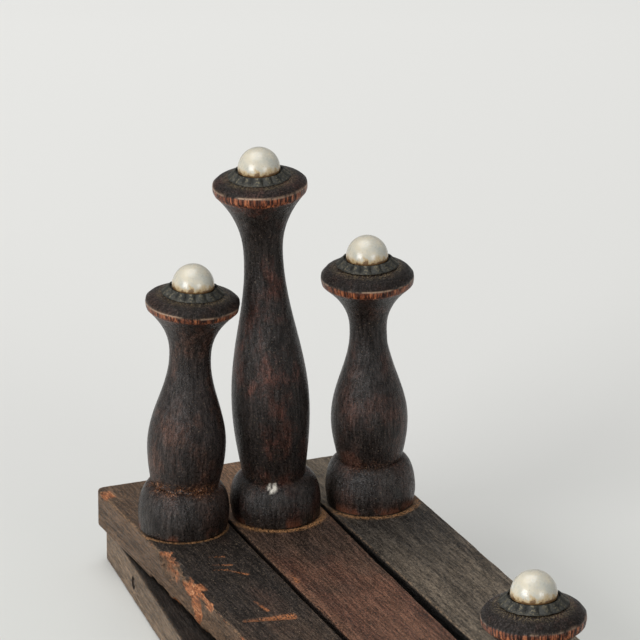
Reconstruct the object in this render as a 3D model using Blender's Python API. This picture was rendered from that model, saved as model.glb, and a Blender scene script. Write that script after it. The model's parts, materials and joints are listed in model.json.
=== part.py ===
"""An expanding peg rack: eight flat slats in a scissor lattice, with ten turned pegs.

The rack lies on its back, folded closed. X runs along the rows of pegs, which is the
way the rack grows as it opens. Y runs along the slats, and Z runs along the pegs.
The origin is under the middle of the rack, on the plane of its back faces.

The front slats lie side by side on top of the back slats and cross them at a small
angle. A peg stands at each crossing. Its tenon turns in the front slat and is locked
in the back slat by a brad, so each peg is also the hinge pin of its crossing.
"""
import math

import bmesh
import bpy
from mathutils import Vector

MM = 0.001
GAP = 0.3 * MM

# Slats
SLAT_WIDTH = 25.0 * MM
SLAT_SIDE_GAP = 0.4 * MM
FRONT_THICKNESS = 10.0 * MM
BACK_THICKNESS = 10.0 * MM
END_MARGIN = 32.0 * MM
CORNER_RADIUS = 1.8 * MM
EDGE_CHAMFER = 0.5 * MM

# Slats sawn a little off size: (width, margin at the upper end, margin at the lower end)
ODD_SLATS = {
    "front_slat_2": (23.2 * MM, 32.0 * MM, 36.0 * MM),
    "front_slat_3": (25.0 * MM, 36.0 * MM, 32.0 * MM),
}

# Lattice: the closed angle makes slats of one layer lie side by side
PIVOT_SPACING = 213.0 * MM
HALF_ANGLE = 0.5 * math.asin((SLAT_WIDTH + SLAT_SIDE_GAP) / PIVOT_SPACING)
COLUMN_STEP = 2 * PIVOT_SPACING * math.sin(HALF_ANGLE)
ROW_STEP = PIVOT_SPACING * math.cos(HALF_ANGLE)
ROWS = {"upper": (3, ROW_STEP), "middle": (4, 0.0), "lower": (3, -ROW_STEP)}

# Pegs
TENON_RADIUS = 4.0 * MM
TENON_RECESS = 0.9 * MM
RUNNING_HOLE_RADIUS = 4.9 * MM
FIXED_HOLE_RADIUS = 4.45 * MM
FOOT_RADIUS = 11.3 * MM
BUN_RADIUS = 11.7 * MM
BUN_HEIGHT = 3.2 * MM
LIP_RADIUS = 11.4 * MM
LIP_DROP = 1.5 * MM
COVE_POWER = 2.3
RIM_RISE = 1.4 * MM
RIM_TAPER = 0.2 * MM
HEAD_DOME = 3.4 * MM
DOME_RING = 0.75
PEG_SEGMENTS = 14

# Each turned shape in millimetres, as radius and height above the foot
PEG_SHAPES = {
    "stout": {"waist": (8.7, 11.0), "belly": (10.1, 21.6), "neck": (5.4, 45.0), "ridge": (12.0, 59.0)},
    "slim": {"waist": (8.3, 11.8), "belly": (9.9, 22.6), "neck": (4.8, 46.5), "ridge": (12.0, 60.2)},
    "tall": {"waist": (8.1, 10.6), "belly": (10.0, 29.8), "neck": (5.1, 69.5), "ridge": (12.1, 88.0)},
    "knob": {"waist": (8.2, 10.4), "belly": (8.9, 14.6), "neck": (5.6, 24.5), "ridge": (12.0, 35.0)},
}

# How much higher than HEAD_DOME the heads of a shape are crowned
CROWNS = {"slim": 1.0 * MM}

# How many straight steps stand for each curve of a peg
BUN_STEPS = 4
RISE_STEPS = 2
FALL_STEPS = 4
COVE_STEPS = 4

# Shape of each peg and its lean towards +X in degrees, from years of wear
PEGS = {
    ("upper", 1): ("stout", 2.8),
    ("upper", 2): ("tall", -2.6),
    ("upper", 3): ("slim", -0.9),
    ("middle", 1): ("knob", 0.6),
    ("middle", 2): ("slim", 0.0),
    ("middle", 3): ("knob", -0.5),
    ("middle", 4): ("stout", -1.2),
    ("lower", 1): ("slim", -1.0),
    ("lower", 2): ("tall", 0.8),
    ("lower", 3): ("stout", 1.4),
}

# Porcelain tips on fluted collars, heights above the ridge of an uncrowned head
COLLAR_OUTER = 8.1 * MM
COLLAR_BOTTOM_RADIUS = 7.7 * MM
COLLAR_CUP_RADIUS = 5.8 * MM
COLLAR_EDGE_HEIGHT = 3.3 * MM
COLLAR_RIM_HEIGHT = 4.9 * MM
COLLAR_FLOOR_HEIGHT = 4.25 * MM
COLLAR_DOME_RADIUS = 12.1 * MM
FLUTE_COUNT = 16
FLUTE_DEPTH = 0.07
TIP_RADIUS = 5.4 * MM
TIP_CENTRE_HEIGHT = 5.2 * MM
TIP_SEAT_HEIGHT = 4.6 * MM
TIP_SEGMENTS = 12

# Iron stud inside each tip, and the brad that locks each tenon
STUD_RADIUS = 1.2 * MM
STUD_HOLE_RADIUS = 1.6 * MM
STUD_TOP_HEIGHT = 7.8 * MM
STUD_DEPTH = 7.5 * MM
BRAD_RADIUS = 0.8 * MM
BRAD_HOLE_RADIUS = 1.2 * MM
BRAD_PAST_CENTRE = 1.5 * MM
BRAD_OFFSET = 2.2 * MM
BRAD_RECESS = 0.4 * MM
SMALL_SEGMENTS = 8
HOLE_SEGMENTS = 12

# Slats by the pegs they carry, from the upper row to the lower row
FRONT_SLATS = {
    "front_slat_1": [("middle", 1), ("lower", 1)],
    "front_slat_2": [("upper", 1), ("middle", 2), ("lower", 2)],
    "front_slat_3": [("upper", 2), ("middle", 3), ("lower", 3)],
    "front_slat_4": [("upper", 3), ("middle", 4)],
}
BACK_SLATS = {
    "back_slat_1": [("upper", 1), ("middle", 1)],
    "back_slat_2": [("upper", 2), ("middle", 2), ("lower", 1)],
    "back_slat_3": [("upper", 3), ("middle", 3), ("lower", 2)],
    "back_slat_4": [("middle", 4), ("lower", 3)],
}

# Each moving slat turns on one peg of the slat it hangs from
HINGES = {
    "back_slat_2": (None, ("middle", 2)),
    "front_slat_2": ("back_slat_2", ("middle", 2)),
    "front_slat_3": ("back_slat_2", ("upper", 2)),
    "front_slat_1": ("back_slat_2", ("lower", 1)),
    "back_slat_1": ("front_slat_2", ("upper", 1)),
    "back_slat_3": ("front_slat_2", ("lower", 2)),
    "front_slat_4": ("back_slat_3", ("upper", 3)),
    "back_slat_4": ("front_slat_3", ("lower", 3)),
}

FRONT_BOTTOM = BACK_THICKNESS + GAP
FRONT_TOP = FRONT_BOTTOM + FRONT_THICKNESS


def clear_scene():
    for item in list(bpy.data.objects):
        bpy.data.objects.remove(item, do_unlink=True)


def make_material(name, colour, roughness, metallic):
    material = bpy.data.materials.new(name)
    material.use_nodes = True
    shader = material.node_tree.nodes["Principled BSDF"]
    shader.inputs["Base Color"].default_value = (*colour, 1.0)
    shader.inputs["Roughness"].default_value = roughness
    shader.inputs["Metallic"].default_value = metallic
    return material


def pivot(place):
    """The point on the base plane under one peg."""
    row, number = place
    count, y = ROWS[row]
    x = (number - (count + 1) / 2) * COLUMN_STEP
    return Vector((x, y, 0.0))


def add_object(name, mesh, material=None, parent=None, location=(0, 0, 0), rotation=(0, 0, 0)):
    item = bpy.data.objects.new(name, mesh)
    bpy.context.scene.collection.objects.link(item)
    item.parent = parent
    item.location = location
    item.rotation_euler = rotation
    if material:
        mesh.materials.append(material)
    return item


def make_cutter(name, mesh, parent, location=(0, 0, 0), rotation=(0, 0, 0)):
    cutter = add_object(name, mesh, None, parent, location, rotation)
    cutter.hide_render = True
    cutter.display_type = "WIRE"
    return cutter


def cut(item, cutter):
    boolean = item.modifiers.new(cutter.name, "BOOLEAN")
    boolean.operation = "DIFFERENCE"
    boolean.solver = "EXACT"
    boolean.object = cutter


def turned_mesh(name, outline, segments, closed=False, flutes=None):
    """Spin an outline of (radius, height) points about Z into one closed skin."""
    work = bmesh.new()
    points = [work.verts.new((radius, 0.0, height)) for radius, height in outline]
    edges = [work.edges.new(pair) for pair in zip(points, points[1:])]
    if closed:
        edges.append(work.edges.new((points[-1], points[0])))
    bmesh.ops.spin(
        work, geom=points + edges, cent=(0, 0, 0), axis=(0, 0, 1),
        angle=math.tau, steps=segments, use_merge=True, use_duplicate=False,
    )
    bmesh.ops.remove_doubles(work, verts=work.verts, dist=1e-6)
    if flutes:
        flutes(work)
    bmesh.ops.recalc_face_normals(work, faces=work.faces)
    mesh = bpy.data.meshes.new(name)
    work.to_mesh(mesh)
    work.free()
    mesh.shade_smooth()
    mesh.set_sharp_from_angle(angle=math.radians(40))
    return mesh


def rod_mesh(name, radius, bottom, top, segments):
    return turned_mesh(name, [(0, bottom), (radius, bottom), (radius, top), (0, top)], segments)


def steps(count):
    """Fractions from just above 0 up to 1."""
    return [(index + 1) / count for index in range(count)]


def peg_outline(shape_name):
    """The peg's outline from the tip of its tenon up to the stud hole in its head."""
    shape = PEG_SHAPES[shape_name]
    waist_radius, waist = (value * MM for value in shape["waist"])
    belly_radius, belly = (value * MM for value in shape["belly"])
    neck_radius, neck = (value * MM for value in shape["neck"])
    ridge_radius, ridge = (value * MM for value in shape["ridge"])
    lip = ridge - LIP_DROP
    tenon_length = FRONT_THICKNESS + GAP + BACK_THICKNESS - TENON_RECESS

    outline = [(0, -tenon_length), (TENON_RADIUS, -tenon_length), (TENON_RADIUS, 0)]
    outline += [(FOOT_RADIUS, 0), (BUN_RADIUS, BUN_HEIGHT)]
    for t in steps(BUN_STEPS):
        angle = t * math.pi / 2
        radius = waist_radius + (BUN_RADIUS - waist_radius) * math.cos(angle)
        outline.append((radius, BUN_HEIGHT + (waist - BUN_HEIGHT) * math.sin(angle)))
    for t in steps(RISE_STEPS):
        radius = waist_radius + (belly_radius - waist_radius) * math.sin(t * math.pi / 2)
        outline.append((radius, waist + (belly - waist) * t))
    for t in steps(FALL_STEPS):
        blend = (1 - math.cos(t * math.pi)) / 2
        outline.append((belly_radius + (neck_radius - belly_radius) * blend, belly + (neck - belly) * t))
    for t in steps(COVE_STEPS):
        radius = neck_radius + (LIP_RADIUS - neck_radius) * t ** COVE_POWER
        outline.append((radius, neck + (lip - neck) * t))
    outline += [(ridge_radius, ridge), (ridge_radius - RIM_TAPER, ridge + RIM_RISE)]
    for radius in (DOME_RING * ridge_radius, STUD_HOLE_RADIUS):
        outline.append((radius, ridge + head_height(radius, ridge_radius, CROWNS.get(shape_name, 0.0))))
    outline += [(STUD_HOLE_RADIUS, ridge - STUD_DEPTH - GAP), (0, ridge - STUD_DEPTH - GAP)]
    return outline


def head_height(radius, ridge_radius, crown=0.0):
    """Height of a head's dome above its ridge; it springs from the top of the rim."""
    rise = HEAD_DOME + crown - RIM_RISE
    return RIM_RISE + rise * math.sqrt(1 - (radius / ridge_radius) ** 2)


def collar_outline():
    """A dished ring: it rests on the head's dome and holds the tip in its cup."""
    inner_height = HEAD_DOME + GAP
    outer_height = head_height(COLLAR_BOTTOM_RADIUS, COLLAR_DOME_RADIUS) + GAP
    return [
        (STUD_HOLE_RADIUS, inner_height),
        (COLLAR_BOTTOM_RADIUS, outer_height),
        (COLLAR_OUTER, COLLAR_EDGE_HEIGHT),
        (COLLAR_CUP_RADIUS + GAP, COLLAR_RIM_HEIGHT),
        (COLLAR_CUP_RADIUS, COLLAR_FLOOR_HEIGHT),
        (STUD_HOLE_RADIUS, COLLAR_FLOOR_HEIGHT),
    ]


def press_flutes(work):
    """Draw every second vertex of the collar's outer edge inwards, into petals."""
    for vertex in work.verts:
        angle = math.atan2(vertex.co.y, vertex.co.x)
        if vertex.co.xy.length > COLLAR_CUP_RADIUS + 2 * GAP:
            vertex.co.xy *= 1 - FLUTE_DEPTH * (1 - math.cos(FLUTE_COUNT * angle)) / 2


def tip_outline():
    """A ball cut flat where it seats in the collar, with a blind hole for the stud."""
    seat_drop = TIP_CENTRE_HEIGHT - TIP_SEAT_HEIGHT
    start = math.asin(-seat_drop / TIP_RADIUS)
    outline = [(0, STUD_TOP_HEIGHT + GAP), (STUD_HOLE_RADIUS, STUD_TOP_HEIGHT + GAP)]
    outline.append((STUD_HOLE_RADIUS, TIP_SEAT_HEIGHT))
    for index in range(5):
        angle = start + (math.pi / 2 - start) * index / 5
        outline.append((TIP_RADIUS * math.cos(angle), TIP_CENTRE_HEIGHT + TIP_RADIUS * math.sin(angle)))
    outline.append((0, TIP_CENTRE_HEIGHT + TIP_RADIUS))
    return outline


def make_hinge_empties():
    """One empty on each slat's joint axis, parented as the slats hang from each other."""
    empties = {}
    for body, (parent, place) in HINGES.items():
        empty = bpy.data.objects.new(body + "_hinge", None)
        bpy.context.scene.collection.objects.link(empty)
        empty.location = pivot(place)
        if parent:
            empty.parent = empties[parent]
            empty.location = pivot(place) - pivot(HINGES[parent][1])
        empties[body] = empty
    return empties


def slat_mesh(name, width, low_y, high_y, bottom, thickness):
    """A plank along Y with rounded corners in plan."""
    work = bmesh.new()
    bmesh.ops.create_cube(work, size=1.0)
    size = Vector((width, high_y - low_y, thickness))
    centre = Vector((0.0, (low_y + high_y) / 2, bottom + thickness / 2))
    for vertex in work.verts:
        vertex.co = vertex.co * size + centre
    upright = [edge for edge in work.edges if abs(edge.verts[0].co.z - edge.verts[1].co.z) > thickness / 2]
    bmesh.ops.bevel(work, geom=upright, offset=CORNER_RADIUS, segments=3, profile=0.5, affect="EDGES")
    mesh = bpy.data.meshes.new(name)
    work.to_mesh(mesh)
    work.free()
    return mesh


def make_slat(name, places, layer, empties, material):
    """A slat with its origin on its joint axis and a round hole under each peg."""
    turn = HALF_ANGLE if layer == "front" else -HALF_ANGLE
    bottom = FRONT_BOTTOM if layer == "front" else 0.0
    thickness = FRONT_THICKNESS if layer == "front" else BACK_THICKNESS
    along = Vector((-math.sin(turn), math.cos(turn), 0.0))
    hinge = pivot(HINGES[name][1])
    reach = [(pivot(place) - hinge).dot(along) for place in places]
    width, upper_margin, lower_margin = ODD_SLATS.get(name, (SLAT_WIDTH, END_MARGIN, END_MARGIN))
    mesh = slat_mesh(name, width, min(reach) - lower_margin, max(reach) + upper_margin, bottom, thickness)
    slat = add_object(name, mesh, material, empties[name], rotation=(0, 0, turn))
    chamfer = slat.modifiers.new("chamfer", "BEVEL")
    chamfer.width = EDGE_CHAMFER
    chamfer.segments = 1
    chamfer.limit_method = "ANGLE"
    chamfer.angle_limit = math.radians(60)
    return slat


def cut_running_holes(slats, empties):
    """The front slats turn on the tenons, so their holes are upright and loose."""
    bore = rod_mesh("running_hole", RUNNING_HOLE_RADIUS, FRONT_BOTTOM - MM, FRONT_TOP + MM, HOLE_SEGMENTS)
    for name, places in FRONT_SLATS.items():
        for place in places:
            label = f"running_hole_{place[0]}_{place[1]}"
            offset = pivot(place) - pivot(HINGES[name][1])
            cut(slats[name], make_cutter(label, bore, empties[name], offset))


def make_peg_axis(place, lean, back_slat, empties):
    """An empty on a peg's own axis, which leans about the middle of the front slat."""
    centre = FRONT_BOTTOM + FRONT_THICKNESS / 2
    axis = bpy.data.objects.new(f"peg_axis_{place[0]}_{place[1]}", None)
    bpy.context.scene.collection.objects.link(axis)
    axis.parent = empties[back_slat]
    axis.location = pivot(place) - pivot(HINGES[back_slat][1]) + Vector((0, 0, centre))
    axis.rotation_euler = (0, math.radians(lean), 0)
    return axis


def make_peg_set(place, back_slat, slats, empties, meshes, materials):
    """One peg with its collar, tip, stud and brad, and the holes they need."""
    shape, lean = PEGS[place]
    label = f"{place[0]}_{place[1]}"
    axis = make_peg_axis(place, lean, back_slat, empties)
    foot_lift = FOOT_RADIUS * abs(math.sin(math.radians(lean)))
    foot = Vector((0, 0, FRONT_THICKNESS / 2 + GAP + foot_lift))
    head = foot + Vector((0, 0, PEG_SHAPES[shape]["ridge"][1] * MM + CROWNS.get(shape, 0.0)))

    peg = add_object("peg_" + label, meshes[shape].copy(), materials["peg"], axis, foot)
    add_object("collar_" + label, meshes["collar"].copy(), materials["collar"], axis, head)
    add_object("tip_" + label, meshes["tip"].copy(), materials["porcelain"], axis, head)
    add_object("stud_" + label, meshes["stud"].copy(), materials["iron"], axis, head)
    cut(slats[back_slat], make_cutter("fixed_hole_" + label, meshes["fixed_hole"], axis))

    outward = Vector((-math.cos(HALF_ANGLE), math.sin(HALF_ANGLE), 0.0))
    along = Vector((math.sin(HALF_ANGLE), math.cos(HALF_ANGLE), 0.0))
    turn = outward.to_track_quat("Z", "Y").to_euler()
    centre = pivot(place) - pivot(HINGES[back_slat][1]) + Vector((0, 0, BACK_THICKNESS / 2))
    centre += BRAD_OFFSET * along
    parent = empties[back_slat]
    add_object("brad_" + label, meshes["brad"].copy(), materials["iron"], parent, centre, turn)
    brad_hole = make_cutter("brad_hole_" + label, meshes["brad_hole"], parent, centre, turn)
    cut(slats[back_slat], brad_hole)
    cut(peg, brad_hole)


def make_shared_meshes():
    meshes = {name: turned_mesh(name, peg_outline(name), PEG_SEGMENTS) for name in PEG_SHAPES}
    meshes["collar"] = turned_mesh("collar", collar_outline(), 2 * FLUTE_COUNT, True, press_flutes)
    meshes["tip"] = turned_mesh("tip", tip_outline(), TIP_SEGMENTS)
    meshes["stud"] = rod_mesh("stud", STUD_RADIUS, -STUD_DEPTH, STUD_TOP_HEIGHT, SMALL_SEGMENTS)
    below = FRONT_THICKNESS + 2 * BACK_THICKNESS
    meshes["fixed_hole"] = rod_mesh("fixed_hole", FIXED_HOLE_RADIUS, -below, 0.0, PEG_SEGMENTS)
    half = SLAT_WIDTH / 2
    meshes["brad"] = rod_mesh("brad", BRAD_RADIUS, -BRAD_PAST_CENTRE, half - BRAD_RECESS, SMALL_SEGMENTS)
    bottom = -BRAD_PAST_CENTRE - 2 * GAP
    meshes["brad_hole"] = rod_mesh("brad_hole", BRAD_HOLE_RADIUS, bottom, half + MM, SMALL_SEGMENTS)
    return meshes


def build_rack():
    clear_scene()
    materials = {
        "slat": make_material("slat", (0.075, 0.052, 0.040), 0.62, 0.0),
        "peg": make_material("peg", (0.040, 0.022, 0.018), 0.45, 0.0),
        "collar": make_material("collar", (0.035, 0.036, 0.028), 0.55, 0.8),
        "porcelain": make_material("porcelain", (0.78, 0.74, 0.64), 0.18, 0.0),
        "iron": make_material("iron", (0.08, 0.07, 0.065), 0.6, 0.9),
    }
    empties = make_hinge_empties()
    slats = {}
    for layer, group in (("front", FRONT_SLATS), ("back", BACK_SLATS)):
        for name, places in group.items():
            slats[name] = make_slat(name, places, layer, empties, materials["slat"])
    cut_running_holes(slats, empties)
    meshes = make_shared_meshes()
    for back_slat, places in BACK_SLATS.items():
        for place in places:
            make_peg_set(place, back_slat, slats, empties, meshes, materials)


build_rack()
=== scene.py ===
"""Looks of an old expanding peg rack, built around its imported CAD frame.

The rack lies on its back, folded closed. Every visible piece stands for one CAD node:
slats of worn stained wood, turned pegs, pressed brass collars and porcelain tips. The
iron studs and brads keep their CAD shape. Lengths here are in millimetres until a mesh
is made, and each piece's own axes are in metres like the frame.
"""
import json
import math

import bpy
import numpy as np
from mathutils import Matrix, Vector


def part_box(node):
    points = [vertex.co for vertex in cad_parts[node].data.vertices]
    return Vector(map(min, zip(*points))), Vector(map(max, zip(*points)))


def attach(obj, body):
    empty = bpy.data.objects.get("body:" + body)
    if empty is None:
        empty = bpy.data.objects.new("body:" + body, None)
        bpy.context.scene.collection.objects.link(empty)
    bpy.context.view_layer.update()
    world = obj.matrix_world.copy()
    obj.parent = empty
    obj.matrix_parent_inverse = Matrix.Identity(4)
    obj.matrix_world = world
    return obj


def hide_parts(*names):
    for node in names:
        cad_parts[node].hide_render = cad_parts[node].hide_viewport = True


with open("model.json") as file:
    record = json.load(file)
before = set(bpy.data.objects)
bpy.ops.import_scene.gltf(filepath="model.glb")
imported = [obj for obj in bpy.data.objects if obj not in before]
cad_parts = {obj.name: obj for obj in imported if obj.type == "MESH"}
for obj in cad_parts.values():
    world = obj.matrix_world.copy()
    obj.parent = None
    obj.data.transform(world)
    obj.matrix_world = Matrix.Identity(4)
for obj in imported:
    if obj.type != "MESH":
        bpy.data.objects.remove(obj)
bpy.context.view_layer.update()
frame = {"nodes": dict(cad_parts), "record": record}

MM = 0.001
NODES = frame["nodes"]
BODIES = frame["record"]["behaviour"]["bodies"]
BODY_OF = {node: body for body, nodes in BODIES.items() for node in nodes}

# The rack's layout, as in the CAD model
FRONT_SLATS = {
    "front_slat_1": ["middle_1", "lower_1"],
    "front_slat_2": ["upper_1", "middle_2", "lower_2"],
    "front_slat_3": ["upper_2", "middle_3", "lower_3"],
    "front_slat_4": ["upper_3", "middle_4"],
}
BACK_SLATS = {
    "back_slat_1": ["upper_1", "middle_1"],
    "back_slat_2": ["upper_2", "middle_2", "lower_1"],
    "back_slat_3": ["upper_3", "middle_3", "lower_2"],
    "back_slat_4": ["middle_4", "lower_3"],
}
PIVOT_SPACING = 213.0
PEG_SHAPE_OF = {
    "upper_1": "stout", "upper_2": "tall", "upper_3": "slim",
    "middle_1": "knob", "middle_2": "slim", "middle_3": "knob", "middle_4": "stout",
    "lower_1": "slim", "lower_2": "tall", "lower_3": "stout",
}

# Turned pegs: radius and height above the foot, in millimetres
PEG_SHAPES = {
    "stout": {"waist": (8.7, 11.0), "belly": (10.1, 21.6), "neck": (5.4, 45.0), "ridge": (12.0, 59.0)},
    "slim": {"waist": (8.3, 11.8), "belly": (9.9, 22.6), "neck": (4.8, 46.5), "ridge": (12.0, 60.2)},
    "tall": {"waist": (8.1, 10.6), "belly": (10.0, 29.8), "neck": (5.1, 69.5), "ridge": (12.1, 88.0)},
    "knob": {"waist": (8.2, 10.4), "belly": (8.9, 14.6), "neck": (5.6, 24.5), "ridge": (12.0, 35.0)},
}
TENON_RADIUS = 4.0
TENON_LENGTH = 19.4
FOOT_RADIUS = 11.3
BUN_RADIUS = 11.7
BUN_HEIGHT = 3.2
LIP_RADIUS = 11.35
LIP_DROP = 1.35
COVE_POWER = 2.3
RIM_RISE = 1.5
HEAD_DOME = 3.4
DOME_POWER = 2.6
CROWNS = {"slim": 1.0}
STUD_DEPTH = 7.5
STUD_HOLE_RADIUS = 1.6
STUD_HOLE_DEPTH = 7.8
PEG_SEGMENTS = 108
RING_STEP = 0.55
AXIS_GAP = 0.02

# Holes in the slats. A tenon runs freely in the front slat and is held in the back slat.
RUNNING_HOLE_RADIUS = 4.9
FIXED_HOLE_RADIUS = 4.45
FIXED_HOLE_TOP = -5.3
BRAD_HOLE_RADIUS = 1.2
BRAD_PIT_RADIUS = 1.6
BRAD_PIT_DEPTH = 0.8
BRAD_SEGMENTS = 24

# Collar and tip, heights above the ridge of the peg's head
COLLAR_OUTER = 8.1
COLLAR_BOTTOM_RADIUS = 7.7
COLLAR_CUP_RADIUS = 5.8
COLLAR_EDGE_HEIGHT = 3.3
COLLAR_RIM_HEIGHT = 4.9
COLLAR_FLOOR_HEIGHT = 4.25
FLUTE_COUNT = 16
COLLAR_SEGMENTS = 12 * FLUTE_COUNT
TIP_RADIUS = 5.4
TIP_CENTRE_HEIGHT = 5.2
TIP_SEAT_HEIGHT = 4.6
TIP_HOLE_TOP = 8.1
TIP_SEGMENTS = 72

# Grid of a slat: where its fine part ends, past its first pivot, and how far apart its lines are
# round its section and along its fine part
FINE_LENGTH = 125.0
FAR_STEP = 2.0
GRID_STEPS = {
    "front_slat_2": (0.45, 0.45), "front_slat_3": (0.7, 0.7),
    "front_slat_4": (0.7, 0.7), "back_slat_1": (0.7, 0.7),
}
COARSE_STEPS = (1.2, 1.5)
EDGE_LINES = (0.0, 0.12, 0.26, 0.44, 0.66, 0.95, 1.35)
CAP_SIZES = (0.2, 0.45, 0.66, 0.82, 0.91, 0.96, 0.985)
CORNER_RADIUS = 2.4
EDGE_RADIUS = 0.62

# Edges sharper than these angles stay sharp, in degrees
SLAT_SHARP = 42
PEG_SHARP = 38
SMALL_SHARP = 50


def collection_add(item):
    """Put an object in the scene."""
    bpy.context.scene.collection.objects.link(item)
    return item


# ---- noise and shaping


def lattice_value(ix, iy, iz, seed):
    """A repeatable value between 0 and 1 for each point of an integer lattice."""
    mixed = (ix * 374761393 + iy * 668265263 + iz * 1442695041 + seed * 974634777) & 0xFFFFFFFF
    mixed = ((mixed ^ (mixed >> 13)) * 1274126177) & 0xFFFFFFFF
    mixed = ((mixed ^ (mixed >> 15)) * 2246822519) & 0xFFFFFFFF
    return (mixed ^ (mixed >> 16)) / 0xFFFFFFFF


def seed_of(name):
    """A number for a name's noise."""
    return sum(map(ord, name))


def noise(x, y, z, seed=0):
    """Smooth value noise between -1 and 1, one lump per unit."""
    x, y, z = np.broadcast_arrays(np.asarray(x, float), y, z)
    cell = [np.floor(axis).astype(np.int64) for axis in (x, y, z)]
    part = [axis - low for axis, low in zip((x, y, z), cell)]
    blend = [t * t * (3 - 2 * t) for t in part]
    total = np.zeros(x.shape)
    for corner in range(8):
        step = [(corner >> bit) & 1 for bit in range(3)]
        weight = np.ones(x.shape)
        for t, high in zip(blend, step):
            weight = weight * (t if high else 1 - t)
        total += weight * lattice_value(*(low + high for low, high in zip(cell, step)), seed)
    return 2 * total - 1


def layered_noise(x, y, z, seed=0, layers=3):
    """Noise with finer, weaker layers added."""
    total, size = 0.0, 1.0
    for layer in range(layers):
        total = total + noise(x / size, y / size, z / size, seed + layer) * size
        size *= 0.5
    return total / 1.75


def smooth_step(value, low, high):
    """A smooth rise from 0 at low to 1 at high."""
    t = np.clip((value - low) / (high - low), 0, 1)
    return t * t * (3 - 2 * t)


# ---- places from the frame


def node_points(name):
    """The different corners of a CAD node, in metres."""
    points = np.array([vertex.co for vertex in NODES[name].data.vertices])
    return np.unique(points.round(7), axis=0)


def head_axis(label):
    """Where a peg's collar and tip are measured from, and its axis, from the stud in its head."""
    points = node_points("stud_" + label)
    middle = points[:, 2].mean()
    low = Vector(points[points[:, 2] < middle].mean(0))
    high = Vector(points[points[:, 2] > middle].mean(0))
    axis = (high - low).normalized()
    return low + axis * STUD_DEPTH * MM, axis


def foot_axis(label):
    """The middle of a peg's foot and its axis."""
    shape = PEG_SHAPE_OF[label]
    head, axis = head_axis(label)
    height = PEG_SHAPES[shape]["ridge"][1] + CROWNS.get(shape, 0.0)
    return head - axis * height * MM, axis


def pivot(label):
    """Where a peg's axis crosses the middle of the front slats, as a point on the floor."""
    foot, axis = foot_axis(label)
    low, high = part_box("front_slat_2")
    point = foot + axis * ((low.z + high.z) / 2 - foot.z) / axis.z
    return Vector((point.x, point.y, 0.0))


def axis_matrix(origin, axis):
    """Z along a peg's axis and X level, with its origin at the given point."""
    across = Vector((axis.z, 0.0, -axis.x)).normalized()
    turn = Matrix((across, axis.cross(across), axis)).transposed()
    return Matrix.Translation(origin) @ turn.to_4x4()


def slat_matrix(labels):
    """X across a slat and Y along it towards its upper end, from its first pivot."""
    first, last = pivot(labels[0]), pivot(labels[-1])
    along = (first - last).normalized()
    across = Vector((along.y, -along.x, 0.0))
    turn = Matrix((across, along, Vector((0, 0, 1)))).transposed()
    return Matrix.Translation(first) @ turn.to_4x4()


def local_box(name, matrix):
    """Lowest and highest corner of a CAD node along a piece's own axes, in millimetres."""
    inverse = np.array(matrix.inverted())
    points = node_points(name) @ inverse[:3, :3].T + inverse[:3, 3]
    return points.min(0) / MM, points.max(0) / MM


# ---- mesh helpers


def mesh_from_rings(name, rings, close_ends=True):
    """Skin a stack of equal closed rings, shape (rings, points, 3), into one closed mesh."""
    count, size = rings.shape[:2]
    vertices = rings.reshape(-1, 3)
    ring, point = np.meshgrid(np.arange(count - 1), np.arange(size), indexing="ij")
    following = (point + 1) % size
    below, above = ring * size, (ring + 1) * size
    corners = (below + point, below + following, above + following, above + point)
    quads = np.stack(corners, axis=-1).reshape(-1, 4)
    faces = quads.tolist()
    if close_ends:
        low, high = len(vertices), len(vertices) + 1
        vertices = np.vstack((vertices, rings[0].mean(0), rings[-1].mean(0)))
        faces += [[low, (k + 1) % size, k] for k in range(size)]
        top = (count - 1) * size
        faces += [[high, top + k, top + (k + 1) % size] for k in range(size)]
    mesh = bpy.data.meshes.new(name)
    mesh.from_pydata((vertices * MM).tolist(), [], faces)
    mesh.update()
    return mesh


def set_attributes(mesh, values):
    """Store named values per vertex; the two centre vertices of closed ends get zero."""
    for name, numbers in values.items():
        filled = np.zeros(len(mesh.vertices), np.float32)
        filled[: numbers.size] = numbers.ravel()
        mesh.attributes.new(name, "FLOAT", "POINT").data.foreach_set("value", filled)


def make_piece(name, mesh, matrix, material, node):
    """Put a mesh in place of a CAD node, on the node's own body."""
    piece = collection_add(bpy.data.objects.new(name, mesh))
    piece.matrix_world = matrix
    mesh.materials.clear()
    mesh.materials.append(material)
    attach(piece, BODY_OF[node])
    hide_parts(node)
    return piece


def smooth_edges(mesh, degrees):
    """Shade smooth, but keep edges sharper than an angle."""
    mesh.shade_smooth()
    mesh.set_sharp_from_angle(angle=math.radians(degrees))


def rod_cutter(radius, low, high, matrix, segments=48):
    """A temporary rod along Z of the given matrix, for cutting holes."""
    angles = np.linspace(0, math.tau, segments, endpoint=False)
    circle = np.stack((radius * np.cos(angles), radius * np.sin(angles)), axis=-1)
    levels = [np.column_stack((circle, np.full(segments, z))) for z in (low, high)]
    rings = np.stack(levels)
    cutter = collection_add(bpy.data.objects.new("cutter", mesh_from_rings("cutter", rings)))
    cutter.matrix_world = matrix
    return cutter


def cut_holes(mesh, matrix, cutters):
    """The mesh with the cutters' rods taken out of it, in its own axes."""
    blank = collection_add(bpy.data.objects.new("blank", mesh))
    blank.matrix_world = matrix
    for cutter in cutters:
        boolean = blank.modifiers.new("hole", "BOOLEAN")
        boolean.solver = "EXACT"
        boolean.object = cutter
    bpy.context.view_layer.update()
    result = blank.evaluated_get(bpy.context.evaluated_depsgraph_get())
    drilled = bpy.data.meshes.new_from_object(result)
    for item in [blank, *cutters]:
        bpy.data.objects.remove(item, do_unlink=True)
    return drilled


# ---- node materials


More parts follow.
